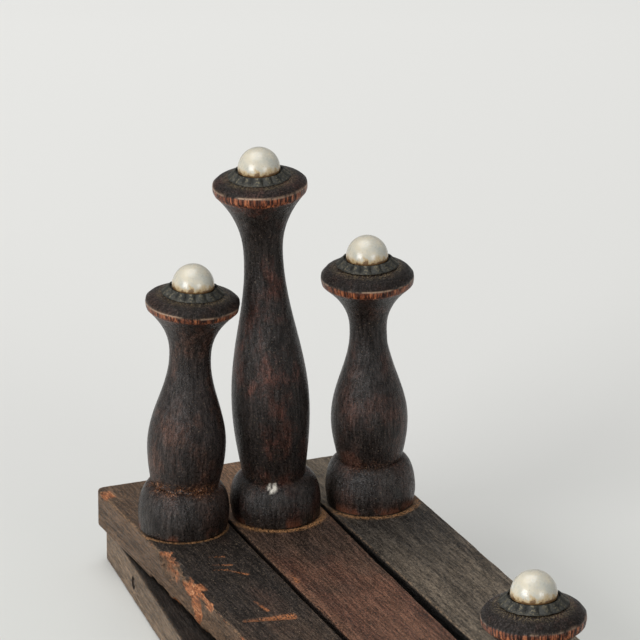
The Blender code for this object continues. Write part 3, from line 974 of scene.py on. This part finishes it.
def brad_axis(label):
    """The inner end, the outer end and the direction of a brad."""
    points = node_points("brad_" + label)
    centre = points.mean(0)
    spread = np.linalg.svd(points - centre)[2][0]
    if spread[0] > 0:
        spread = -spread
    reach = (points - centre) @ spread
    return Vector(centre + spread * reach.min()), Vector(centre + spread * reach.max()), Vector(spread)


def brad_rod(radius, place, direction, low, high):
    """A temporary rod along a brad, from a place on its axis."""
    turn = direction.to_track_quat("Z", "Y").to_matrix().to_4x4()
    return rod_cutter(radius, low, high, Matrix.Translation(place) @ turn, BRAD_SEGMENTS)


def brad_cutter(label):
    """A rod for the hole round a brad, open at the slat's edge."""
    inner, outer, direction = brad_axis(label)
    length = (outer - inner).length / MM
    return brad_rod(BRAD_HOLE_RADIUS, inner, direction, -0.6, length + 2.0)


def brad_mouth(label):
    """A rod for the shallow pit where a brad goes in, wider than its hole."""
    outer, direction = brad_axis(label)[1:]
    return brad_rod(BRAD_PIT_RADIUS, outer, direction, -BRAD_PIT_DEPTH, 2.0)


def make_slat(name, labels, layer, material):
    """Cut, age and drill one slat."""
    matrix = slat_matrix(labels)
    box = local_box(name, matrix)
    surface = aged_slat(name, *box)
    rings, values = surface.rings(), surface.values()
    if layer == "front":
        add_crescents(rings, values, labels, matrix, surface.on_top)
    mesh = mesh_from_rings(name, rings)
    set_attributes(mesh, values)
    drilled = cut_holes(mesh, matrix, slat_cutters(labels, layer, box))
    drilled.name = name + "_wood"
    smooth_edges(drilled, SLAT_SHARP)
    return make_piece(drilled.name, drilled, matrix, material, name)


# ---- pegs


def stretch(points):
    """Fill an outline with points a ring step apart."""
    filled = [points[0]]
    for start, end in zip(points, points[1:]):
        count = max(1, math.ceil(math.dist(start, end) / RING_STEP))
        filled += [
            (start[0] + (end[0] - start[0]) * k / count, start[1] + (end[1] - start[1]) * k / count)
            for k in range(1, count + 1)
        ]
    return filled


def curve(count, shape):
    """Points of a shape of t, from just above 0 to 1."""
    return [shape((index + 1) / count) for index in range(count)]


def peg_outline(shape, crown):
    """The peg's outline in millimetres, from its tenon's end up to the hole in its head."""
    (waist_r, waist), (belly_r, belly), (neck_r, neck), (ridge_r, ridge) = (
        shape[key] for key in ("waist", "belly", "neck", "ridge"))
    lip = ridge - LIP_DROP
    rise_above = HEAD_DOME + crown - RIM_RISE
    tenon = [(AXIS_GAP, -TENON_LENGTH), (TENON_RADIUS - 0.4, -TENON_LENGTH),
             (TENON_RADIUS, -TENON_LENGTH + 0.4), (TENON_RADIUS, 0.0)]
    foot = [(FOOT_RADIUS - 0.5, 0.0), (FOOT_RADIUS - 0.15, 0.12),
            (FOOT_RADIUS, 0.5), (BUN_RADIUS, BUN_HEIGHT)]
    bun = curve(14, lambda t: (
        waist_r + (BUN_RADIUS - waist_r) * math.cos(t * math.pi / 2),
        BUN_HEIGHT + (waist - BUN_HEIGHT) * math.sin(t * math.pi / 2)))
    rise = curve(14, lambda t: (
        waist_r + (belly_r - waist_r) * math.sin(t * math.pi / 2), waist + (belly - waist) * t))
    fall = curve(24, lambda t: (
        belly_r + (neck_r - belly_r) * (1 - math.cos(t * math.pi)) / 2, belly + (neck - belly) * t))
    cove = curve(20, lambda t: (neck_r + (LIP_RADIUS - neck_r) * t**COVE_POWER, neck + (lip - neck) * t))
    rim = curve(9, lambda t: (
        LIP_RADIUS + 0.25 + (ridge_r - LIP_RADIUS - 0.25) * math.sin(t * 2.3) ** 0.8,
        lip + 0.12 + (LIP_DROP + RIM_RISE - 0.24) * t))
    hole_share = STUD_HOLE_RADIUS / ridge_r
    dome = curve(20, lambda t: (
        ridge_r - 0.42 + (STUD_HOLE_RADIUS - ridge_r + 0.42) * t,
        ridge + RIM_RISE + rise_above * (1 - (1 - t * (1 - hole_share)) ** DOME_POWER) ** 0.5))
    hole = [(STUD_HOLE_RADIUS, ridge - STUD_HOLE_DEPTH), (AXIS_GAP, ridge - STUD_HOLE_DEPTH)]
    return stretch(tenon + foot + bun + rise + fall + cove + rim + dome + hole)


def turned_rings(outline, segments):
    """Rings of (x, y, z) from an outline of (radius, height) pairs."""
    radius, height = np.array(outline).T
    angles = np.linspace(0, math.tau, segments, endpoint=False)
    x = radius[:, None] * np.cos(angles)
    y = radius[:, None] * np.sin(angles)
    z = np.broadcast_to(height[:, None], x.shape)
    return x, y, z


def peg_values(shape, z, radius, tear, worn_band, angle, seed):
    """Which parts of a peg are worn, torn, dusty or crusted, as values from 0 to 1."""
    ridge = shape["ridge"][1]
    waist = shape["waist"][1]
    lip = ridge - LIP_DROP
    wander = 0.25 * noise(np.cos(angle) * 2, np.sin(angle) * 2, 0.0, seed + 9)
    band_top = lip + worn_band + wander
    rim = smooth_step(z, lip - 0.1, lip + 0.15) * (1 - smooth_step(z, band_top - 0.3, band_top))
    top = smooth_step(z, band_top - 0.2, band_top + 0.3)
    near_collar = 1 - smooth_step(np.abs(radius - COLLAR_OUTER - 0.2), 0.3, 1.9)
    head = smooth_step(z, ridge + RIM_RISE, ridge + RIM_RISE + 0.5) * near_collar
    band = np.exp(-(((z - waist - 0.6) / 1.5) ** 2))
    ragged = smooth_step(layered_noise(angle * 4, z / 1.5, 0.0, seed), -0.6, 0.4)
    return {
        "rim": rim * min(1.0, 0.15 + worn_band / 3), "top": top, "head": head,
        "line": np.exp(-(((z - band_top) / 0.16) ** 2)) * (worn_band > 0),
        "torn": np.clip(tear * band * ragged, 0, 1),
        "bun": 1 - smooth_step(z, waist - 1.5, waist + 0.5),
        "foot": 1 - smooth_step(z, 0.4, 2.8),
        "fleck": np.zeros(z.shape),
    }


# Chips in the polish of a peg's foot: (angle round the peg, height, size)
FLECKS = {"upper_2": [(-108, 10.1, 0.7), (-112, 9.4, 0.5), (-117, 10.2, 0.5)]}


def add_flecks(values, label, radius, angle, z):
    """Mark the chips in the polish of one peg's foot."""
    for degrees, height, size in FLECKS.get(label, []):
        distance = np.hypot(BUN_RADIUS * (angle - math.radians(degrees)), z - height)
        mark = (1 - smooth_step(distance, 0.5 * size, 1.5 * size)) * (radius > TENON_RADIUS + 1)
        values["fleck"] = np.maximum(values["fleck"], mark)


def seat_foot(matrix, x, y, z):
    """Lower the edge of a leaning peg's foot onto the slat, in millimetres up the peg's axis."""
    slat_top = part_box("front_slat_2")[1].z / MM
    place = np.array(matrix)
    height = place[2, 0] * x + place[2, 1] * y + place[2, 3] / MM
    gap = np.maximum(height - slat_top - 0.12, 0)
    outside = smooth_step(np.hypot(x, y), TENON_RADIUS + 0.4, FOOT_RADIUS - 1)
    return z - gap * outside * (z > -0.01) * (1 - smooth_step(z, 0.0, 6.0))


def weather(x, y, z, torn, seed):
    """How much wider each point of a peg is, as a factor: worn, grooved, torn and dented."""
    radius = np.hypot(x, y)
    angle = np.arctan2(y, x)
    outside = smooth_step(radius, 4.2, 5.0) * smooth_step(z, 0.1, 0.8)
    worn = 0.10 * noise(x / 11, y / 11, z / 16, seed)
    worn = worn + 0.035 * noise(x / 1.3, y / 1.3, z / 11, seed + 1)
    turning = 0.015 * np.sin(z * 5.1) + 0.012 * noise(0.5, 0.5, z / 0.7, seed + 2)
    fibres = 0.55 * torn * (noise(angle * 9, z / 0.55, 0.0, seed + 3) - 0.5)
    dents = -0.12 * smooth_step(noise(x / 2.2, y / 2.2, z / 6, seed + 4), 0.5, 0.95)
    push = np.minimum(worn - 0.1, 0.0) + turning - 0.02 + fibres + dents
    return 1 + outside * push / np.maximum(radius, 1)


def make_peg(label, tear, worn_band, material):
    """Turn one peg."""
    shape_name = PEG_SHAPE_OF[label]
    shape = PEG_SHAPES[shape_name]
    matrix = axis_matrix(*foot_axis(label))
    seed = seed_of(label) * 3
    x, y, z = turned_rings(peg_outline(shape, CROWNS.get(shape_name, 0.0)), PEG_SEGMENTS)
    radius, angle = np.hypot(x, y), np.arctan2(y, x)
    values = peg_values(shape, z, radius, tear, worn_band, angle, seed)
    add_flecks(values, label, radius, angle, z)
    factor = weather(x, y, z, values["torn"], seed)
    rings = np.stack((x * factor, y * factor, seat_foot(matrix, x, y, z)), axis=-1)

    mesh = mesh_from_rings("peg_" + label, rings)
    set_attributes(mesh, values)
    drilled = cut_holes(mesh, matrix, [brad_cutter(label)])
    drilled.name = f"peg_{label}_turned"
    smooth_edges(drilled, PEG_SHARP)
    return make_piece(drilled.name, drilled, matrix, material, "peg_" + label)


# ---- collars and tips


def collar_outline():
    """A pressed ring in section: underside, rolled outer edge, sloping petals, bead and cup."""
    inner_height = HEAD_DOME + 0.3
    outer_height = COLLAR_EDGE_HEIGHT - 0.06
    return stretch([
        (STUD_HOLE_RADIUS, inner_height),
        (COLLAR_BOTTOM_RADIUS - 0.3, outer_height),
        (COLLAR_BOTTOM_RADIUS, outer_height),
        (COLLAR_OUTER, COLLAR_EDGE_HEIGHT - 0.15),
        (COLLAR_OUTER - 0.05, COLLAR_EDGE_HEIGHT),
        (7.4, 3.85), (6.9, 4.25), (6.45, 4.75),
        (COLLAR_CUP_RADIUS + 0.35, COLLAR_RIM_HEIGHT),
        (COLLAR_CUP_RADIUS + 0.1, COLLAR_RIM_HEIGHT - 0.1),
        (COLLAR_CUP_RADIUS, COLLAR_FLOOR_HEIGHT),
        (STUD_HOLE_RADIUS, COLLAR_FLOOR_HEIGHT),
    ])


def make_collar(label, material):
    """Press one collar with its flutes."""
    outline = collar_outline()
    x, y, z = turned_rings(outline + [outline[0]], COLLAR_SEGMENTS)
    radius = np.hypot(x, y)
    angle = np.arctan2(y, x)
    seed = seed_of(label)
    crumple = 0.25 * noise(np.cos(angle) * 3, np.sin(angle) * 3, 0.0, seed)
    flute = np.abs(np.cos(FLUTE_COUNT * angle / 2 + crumple)) ** 0.6
    outer = smooth_step(radius, COLLAR_CUP_RADIUS + 0.1, COLLAR_CUP_RADIUS + 0.6)
    above = smooth_step(z, 3.25, 3.5)
    factor = 1 - outer * (0.035 * (1 - flute) + 0.012 + 0.02 * np.abs(crumple))
    petal = 0.62 * (1 - flute) * (1 - 0.45 * smooth_step(radius, 6.4, COLLAR_OUTER))
    drop = above * outer * petal + 0.08 * above * np.abs(noise(x / 0.7, y / 0.7, 0.0, seed + 1))
    rings = np.stack((x * factor, y * factor, z - drop), axis=-1)
    mesh = mesh_from_rings("collar_" + label, rings[:-1], False)
    close_tube(mesh, len(outline), COLLAR_SEGMENTS)
    rubbed = outer * above * smooth_step(flute, 0.82, 1.0)
    set_attributes(mesh, {"edge": rubbed[:-1]})
    smooth_edges(mesh, SMALL_SHARP)
    name = f"collar_{label}_pressed"
    matrix = axis_matrix(*head_axis(label))
    return make_piece(name, mesh, matrix, material, "collar_" + label)


def close_tube(mesh, count, size):
    """Join the last ring of a ring-shaped skin back to its first."""
    vertices = [tuple(vertex.co) for vertex in mesh.vertices]
    faces = [tuple(face.vertices) for face in mesh.polygons]
    last = (count - 1) * size
    faces += [(last + k, last + (k + 1) % size, (k + 1) % size, k) for k in range(size)]
    mesh.clear_geometry()
    mesh.from_pydata(vertices, [], faces)
    mesh.update()


def tip_outline():
    """A half ball over its seat, with a blind hole for the stud."""
    start = math.asin((TIP_SEAT_HEIGHT - TIP_CENTRE_HEIGHT) / TIP_RADIUS)
    angles = [start + (math.pi / 2 - start) * (index / 30) for index in range(30)]
    ball = [
        (TIP_RADIUS * math.cos(angle), TIP_CENTRE_HEIGHT + TIP_RADIUS * math.sin(angle))
        for angle in angles
    ]
    hole = [(AXIS_GAP, TIP_HOLE_TOP), (STUD_HOLE_RADIUS, TIP_HOLE_TOP), (STUD_HOLE_RADIUS, TIP_SEAT_HEIGHT)]
    return hole + ball + [(AXIS_GAP, TIP_CENTRE_HEIGHT + TIP_RADIUS)]


def make_tip(label, material):
    """Cast one porcelain tip."""
    seed = seed_of(label) * 5
    x, y, z = turned_rings(tip_outline(), TIP_SEGMENTS)
    outside = smooth_step(np.hypot(x, y), 2.2, 3.0)
    lumps = 0.05 * noise(x / 3.5, y / 3.5, z / 3.5, seed) - 0.05
    factor = 1 + outside * lumps / TIP_RADIUS
    rings = np.stack((x * factor, y * factor, z), axis=-1)
    mesh = mesh_from_rings("tip_" + label, rings)
    height = (z - TIP_SEAT_HEIGHT) / TIP_RADIUS
    set_attributes(mesh, {"stain": 1.45 - 2.6 * np.clip(height, 0, 1)})
    smooth_edges(mesh, SMALL_SHARP)
    matrix = axis_matrix(*head_axis(label))
    return make_piece(f"tip_{label}_glazed", mesh, matrix, material, "tip_" + label)


# ---- stage


# Camera: place in metres, turn to the right and tilt downwards in degrees, lens in millimetres
CAMERA_PLACE = Vector((-0.50538, -1.25567, 0.67371))
CAMERA_TURN = 19.4
CAMERA_TILT = 21.15
CAMERA_LENS = 371.25
SENSOR_WIDTH = 36.0
FLOOR_REACH = 6.0
LIGHT_TARGET = Vector((0.0, 0.15, 0.05))
# Square soft lights: (place, width, power)
LIGHTS = {
    "left_softbox": ((-1.55, -0.62, 0.55), 0.9, 24.0),
    "right_softbox": ((0.50, -1.65, 0.45), 0.7, 8.0),
    "overhead_softbox": ((-0.4, 0.4, 2.0), 1.8, 29.0),
}
ROOM_LIGHT = 0.31


def make_camera():
    """A long lens looking down on the rack's upper end."""
    data = bpy.data.cameras.new("camera")
    data.lens = CAMERA_LENS
    data.sensor_width = SENSOR_WIDTH
    data.clip_start = 0.05
    camera = collection_add(bpy.data.objects.new("camera", data))
    camera.location = CAMERA_PLACE
    camera.rotation_euler = (math.radians(90 - CAMERA_TILT), 0, -math.radians(CAMERA_TURN))
    bpy.context.scene.camera = camera


def make_light(name, place, width, power):
    """A square soft light aimed at the rack."""
    data = bpy.data.lights.new(name, "AREA")
    data.shape = "SQUARE"
    data.size = width
    data.energy = power
    light = collection_add(bpy.data.objects.new(name, data))
    light.location = place
    light.rotation_euler = (LIGHT_TARGET - Vector(place)).to_track_quat("-Z", "Y").to_euler()


def make_floor():
    """A wide flat floor under the rack."""
    mesh = bpy.data.meshes.new("floor")
    corners = [(x * FLOOR_REACH, y * FLOOR_REACH, 0) for x, y in ((-1, -1), (1, -1), (1, 1), (-1, 1))]
    mesh.from_pydata(corners, [], [(0, 1, 2, 3)])
    mesh.materials.append(floor_material())
    collection_add(bpy.data.objects.new("floor", mesh))


def make_stage():
    """The floor, the lights and the pale room round them."""
    make_floor()
    for name, settings in LIGHTS.items():
        make_light(name, *settings)
    world = bpy.data.worlds.new("room")
    world.use_nodes = True
    background = world.node_tree.nodes["Background"]
    background.inputs["Color"].default_value = (1.0, 1.0, 1.0, 1.0)
    background.inputs["Strength"].default_value = ROOM_LIGHT
    bpy.context.scene.world = world
    bpy.context.scene.view_settings.view_transform = "Standard"


# ---- the rack


# Colours of each slat: (stained, ruddy, worn)
SLAT_COLOURS = {
    "front_slat_1": ((42, 33, 28), (74, 46, 34), (96, 80, 66)),
    "front_slat_2": ((36, 29, 24), (62, 42, 33), (91, 71, 54)),
    "front_slat_3": ((52, 38, 31), (88, 54, 40), (118, 90, 68)),
    "front_slat_4": ((40, 36, 32), (56, 46, 38), (98, 87, 73)),
    "back_slat_1": ((46, 38, 31), (68, 48, 36), (112, 93, 74)),
    "back_slat_2": ((42, 34, 28), (70, 46, 34), (96, 82, 68)),
    "back_slat_3": ((44, 36, 30), (68, 46, 36), (94, 80, 68)),
    "back_slat_4": ((42, 34, 29), (70, 46, 34), (98, 84, 70)),
}
# How ruddy the top of a slat is, as (millimetres past the first pivot, amount)
RED_TOP = {
    "front_slat_1": [(-40, 0.3), (500, 0.4)],
    "front_slat_2": [(-40, 0.4), (10, 0.1), (50, 0.1), (80, 0.5), (500, 0.4)],
    "front_slat_3": [(-40, 0.5), (10, 0.35), (45, 0.6), (70, 0.95), (110, 0.8), (200, 0.5), (500, 0.4)],
    "front_slat_4": [(-40, 0.2), (10, 0.1), (500, 0.3)],
}
RED_BACK = [(-40, 0.3), (500, 0.3)]
# Polish colours of each peg, (dark, red), how torn its waist is, and the height of its worn rim band
PEG_LOOKS = {
    "upper_1": ((36, 28, 25), (72, 47, 36), 1.0, 1.8),
    "upper_2": ((32, 25, 22), (76, 43, 33), 0.15, 2.6),
    "upper_3": ((34, 27, 24), (70, 45, 36), 0.25, 2.1),
    "middle_1": ((34, 27, 24), (70, 46, 36), 0.3, 2.2),
    "middle_2": ((36, 28, 25), (76, 44, 34), 0.2, 2.4),
    "middle_3": ((34, 26, 23), (72, 44, 34), 0.2, 1.9),
    "middle_4": ((36, 29, 26), (70, 48, 38), 0.5, 2.3),
    "lower_1": ((36, 28, 25), (74, 48, 36), 0.3, 2.5),
    "lower_2": ((34, 26, 23), (72, 42, 32), 0.2, 1.8),
    "lower_3": ((36, 28, 25), (72, 48, 38), 0.4, 2.2),
}


def make_rack():
    """Build every slat, peg, collar and tip, and give the studs and brads their iron."""
    for layer, slats in (("front", FRONT_SLATS), ("back", BACK_SLATS)):
        for seed, (name, labels) in enumerate(slats.items()):
            colours = [paint(*colour) for colour in SLAT_COLOURS[name]]
            material = slat_material(name + "_stain", *colours, seed + 10 * (layer == "back"))
            make_slat(name, labels, layer, material)

    collar, porcelain, iron = collar_material(), porcelain_material(), iron_material()
    for seed, (label, (dark, red, tear, worn_band)) in enumerate(PEG_LOOKS.items()):
        material = peg_material(f"peg_{label}_polish", paint(*dark), paint(*red), seed)
        make_peg(label, tear, worn_band, material)
        make_collar(label, collar)
        make_tip(label, porcelain)
        for kind in ("stud_", "brad_"):
            for slot in NODES[kind + label].material_slots:
                slot.material = iron


make_camera()
make_stage()
make_rack()
